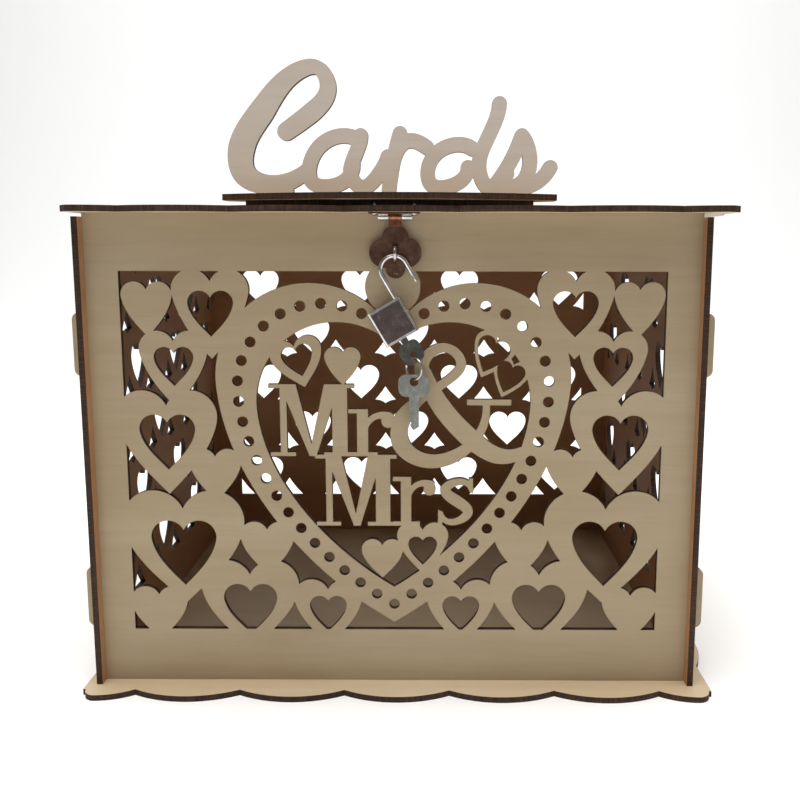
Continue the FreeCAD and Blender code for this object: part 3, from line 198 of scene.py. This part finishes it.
paint_board("front_panel", "Y", wall_face, edges["Y"])
paint_board("back_panel", "Y", wall_face, edges["Y"])
paint_board("left_panel", "X", side_face, edges["X"])
paint_board("right_panel", "X", side_face, edges["X"])
# Painted light: the base, lid and sign boards carry the lighter top copy of the veneer.
paint_board("base_plate", "Z", top_face_painted_light, edges["Z"])
paint_board("lid_panel", "Z", top_face_painted_light, edges["Z"])
paint_board("sign_riser", "Z", top_face_painted_light, edges["Z"])
paint_board("sign_plate", "Z", top_face_painted_light, edges["Z"])
# Painted light on the sign's faces, plus its own cooler tone.
paint_board("cards_sign", "Y", sign_face_painted_light, edges["Y"])


def paint_inside_shade(node, axis, side, material):
    """The board's face that looks into the box gets a darker, warmer copy of the veneer: painted shade for
    the inside of the box.
    """
    board = nodes[node]
    board.data.materials.append(material)
    index = "XYZ".index(axis)
    for polygon in board.data.polygons:
        if polygon.normal[index] * side > SQUARE_ON:
            polygon.material_index = 2


# Painted shade: the faces that look into the box get the darker inner copy.
paint_inside_shade("back_panel", "Y", -1, shaded_inner_face)
paint_inside_shade("left_panel", "X", 1, shaded_side_inner_face)
paint_inside_shade("right_panel", "X", -1, shaded_side_inner_face)

# ---------------------------------------------------------------- metals


def metal(name, base, dark, light, roughness, scratch=1.0, speckle=0.0):
    """Metal with fine brushing, tarnish and bright worn edges."""
    graph = Graph(name)
    brushed = graph.noise(graph.place((900.0, 900.0, 60.0)), 4.0, 3.0)
    tarnish = graph.noise(graph.place(), 260.0, 5.0, 0.6)
    colour = graph.ramp(tarnish, [(0.32, dark), (0.55, base), (0.8, light)])
    if speckle:
        dots = graph.node("ShaderNodeTexVoronoi", {"Vector": graph.place(), "Scale": 2600.0})
        grain = graph.fade(dots.outputs["Distance"], 0.0, 0.6, 0.0, speckle)
        colour = graph.mix(grain, colour, light)
    wear = graph.edge_mask(0.00022)
    colour = graph.mix(graph.math("MULTIPLY", wear, 0.6), colour, light)
    graph.colour(colour)
    graph.shader.inputs["Metallic"].default_value = 1.0
    graph.rough(graph.fade(brushed, 0.25, 0.75, roughness * 0.75, roughness * 1.3))
    graph.bump(brushed, 0.12 * scratch, 0.00005)
    return graph.material


chrome = metal("bright_chrome", (0.72, 0.71, 0.70), (0.50, 0.49, 0.47), (0.95, 0.95, 0.94), 0.13, 0.5)
bronze = metal("aged_bronze", (0.16, 0.088, 0.062), (0.11, 0.058, 0.042), (0.26, 0.15, 0.105), 0.36)
copper = metal("hasp_copper", (0.36, 0.15, 0.085), (0.20, 0.08, 0.045), (0.62, 0.34, 0.22), 0.3)
nickel = metal("key_nickel", (0.25, 0.255, 0.235), (0.19, 0.195, 0.18), (0.45, 0.45, 0.42), 0.32)
wire_nickel = metal("nickel_wire", (0.62, 0.61, 0.58), (0.4, 0.39, 0.37), (0.95, 0.95, 0.93), 0.17, 0.6)
brass = metal("hinge_brass", (0.50, 0.35, 0.14), (0.30, 0.19, 0.07), (0.80, 0.62, 0.32), 0.28)
steel_face = metal("lock_face", (0.075, 0.055, 0.05), (0.04, 0.028, 0.026), (0.20, 0.165, 0.155),
                   0.5, 1.6, 0.4)

FINISHES = {
    "left_hinge_box_leaf": brass, "right_hinge_box_leaf": brass, "left_hinge_lid_leaf": brass,
    "right_hinge_lid_leaf": brass, "left_hinge_pin": brass, "right_hinge_pin": brass,
    "hinge_box_screws": brass, "hinge_lid_screws": brass,
    "hasp_strap": bronze, "staple_plate": bronze, "staple_screws": bronze,
    "hasp_leaf": wire_nickel, "hasp_pin": wire_nickel, "hasp_screws": wire_nickel, "staple": wire_nickel,
    "padlock_case": chrome, "padlock_shackle": chrome, "shackle_seat": chrome, "shackle_spring": chrome,
    "padlock_bolt": chrome, "padlock_plug": chrome,
    "key_in_lock": nickel, "spare_key": nickel, "key_ring": wire_nickel,
}


def finish_metal(node, material, width=0.00012):
    """One metal over the whole piece, with its sharp edges broken."""
    piece = nodes[node]
    piece.data.materials.clear()
    piece.data.materials.append(material)
    edge = piece.modifiers.new("broken_edges", "BEVEL")
    edge.width = width
    edge.segments = 2
    edge.limit_method = "ANGLE"
    edge.angle_limit = math.radians(40)


def paint_where(node, material, chosen):
    """The polygons whose middle and normal are chosen get a second metal."""
    piece = nodes[node]
    piece.data.materials.append(material)
    slot = len(piece.data.materials) - 1
    turn = piece.matrix_world.to_3x3()
    for polygon in piece.data.polygons:
        if chosen(piece.matrix_world @ polygon.center, turn @ polygon.normal):
            polygon.material_index = slot


for node, material in FINISHES.items():
    finish_metal(node, material)

# World coordinates in metres: behind the padlock's face frame, the foot of the strap's tongue,
# and the front of the hasp leaf's knuckles.
PADLOCK_FACE_FLOOR = -0.13515
STRAP_TONGUE_FOOT = 0.2345
HASP_KNUCKLE_FRONT = -0.131

paint_where("padlock_case", steel_face,
            lambda middle, normal: normal.y < -SQUARE_ON and middle.y > PADLOCK_FACE_FLOOR)
paint_where("hasp_strap", copper, lambda middle, normal: middle.z > STRAP_TONGUE_FOOT)
paint_where("hasp_leaf", bronze, lambda middle, normal: middle.y < HASP_KNUCKLE_FRONT)

# ---------------------------------------------------------------- stage, light and camera


def stage_material(name, colour, roughness):
    graph = Graph(name)
    cloud = graph.noise(graph.place(), 1.5, 2.0)
    graph.colour(graph.mix(graph.fade(cloud, 0.3, 0.7, 0.0, 0.03), colour, (0.9, 0.9, 0.9)))
    graph.shader.inputs["Roughness"].default_value = roughness
    graph.shader.inputs["Specular IOR Level"].default_value = 0.1
    return graph.material


def build_sweep():
    """Pale floor that turns up into a pale backdrop."""
    mesh = bpy.data.meshes.new("studio_sweep")
    profile = [(-4.0, 0.0), (1.2, 0.0)]
    for step in range(1, 13):
        angle = math.radians(step * 7.5)
        profile.append((1.2 + 0.9 * math.sin(angle), 0.9 - 0.9 * math.cos(angle)))
    profile.append((2.1, 4.5))
    vertices = [(side * 5.0, y, z) for y, z in profile for side in (-1, 1)]
    faces = [(2 * i, 2 * i + 1, 2 * i + 3, 2 * i + 2) for i in range(len(profile) - 1)]
    mesh.from_pydata(vertices, [], faces)
    for polygon in mesh.polygons:
        polygon.use_smooth = True
    sweep = bpy.data.objects.new("studio_sweep", mesh)
    bpy.context.scene.collection.objects.link(sweep)
    mesh.materials.append(stage_material("studio_white", (0.93, 0.93, 0.93), 0.9))


def add_area(name, place, target, width, height, power, colour=(1, 1, 1)):
    data = bpy.data.lights.new(name, "AREA")
    data.shape = "RECTANGLE"
    data.size = width
    data.size_y = height
    data.energy = power
    data.color = colour
    lamp = bpy.data.objects.new(name, data)
    lamp.location = place
    lamp.rotation_euler = (Vector(target) - Vector(place)).to_track_quat("-Z", "Y").to_euler()
    bpy.context.scene.collection.objects.link(lamp)


def build_lights():
    world = bpy.data.worlds.new("studio_world")
    world.use_nodes = True
    background = world.node_tree.nodes["Background"]
    background.inputs["Color"].default_value = (1.0, 0.99, 0.98, 1)
    background.inputs["Strength"].default_value = 0.16
    bpy.context.scene.world = world
    middle = (0.0, 0.0, 0.14)
    add_area("key_light", (-0.35, -1.1, 1.35), middle, 0.7, 0.5, 1.6, (1.0, 0.99, 0.96))
    add_area("top_light", (-0.05, -0.4, 1.5), middle, 1.1, 0.9, 16, (1.0, 0.99, 0.97))
    add_area("fill_light", (1.3, -1.2, 0.6), middle, 1.0, 1.0, 0.8, (1.0, 0.99, 0.97))
    add_area("back_light", (0.0, 0.2, 2.4), (0.0, 1.2, 0.2), 2.4, 1.6, 60)


CAMERA_PLACE = (0.0226, -0.5618, 0.2266)
CAMERA_YAW, CAMERA_PITCH, CAMERA_ROLL = 0.00445, 0.14635, 0.00134


def build_camera():
    data = bpy.data.cameras.new("camera")
    data.sensor_width = 36.0
    data.lens = 40.09
    data.shift_x = -0.0438
    data.shift_y = -0.0293
    data.clip_start = 0.02
    camera = bpy.data.objects.new("camera", data)
    across = Vector((math.cos(CAMERA_YAW), math.sin(CAMERA_YAW), 0))
    ahead = Vector((-math.sin(CAMERA_YAW), math.cos(CAMERA_YAW), 0))
    up = Vector((0, 0, 1))
    forward = ahead * math.cos(CAMERA_PITCH) - up * math.sin(CAMERA_PITCH)
    above = up * math.cos(CAMERA_PITCH) + ahead * math.sin(CAMERA_PITCH)
    right = across * math.cos(CAMERA_ROLL) + above * math.sin(CAMERA_ROLL)
    top = above * math.cos(CAMERA_ROLL) - across * math.sin(CAMERA_ROLL)
    turn = Matrix((right, top, -forward)).transposed().to_4x4()
    camera.matrix_world = Matrix.Translation(Vector(CAMERA_PLACE)) @ turn
    bpy.context.scene.collection.objects.link(camera)
    bpy.context.scene.camera = camera


build_sweep()
build_lights()
build_camera()

bpy.context.scene.view_settings.view_transform = "Standard"
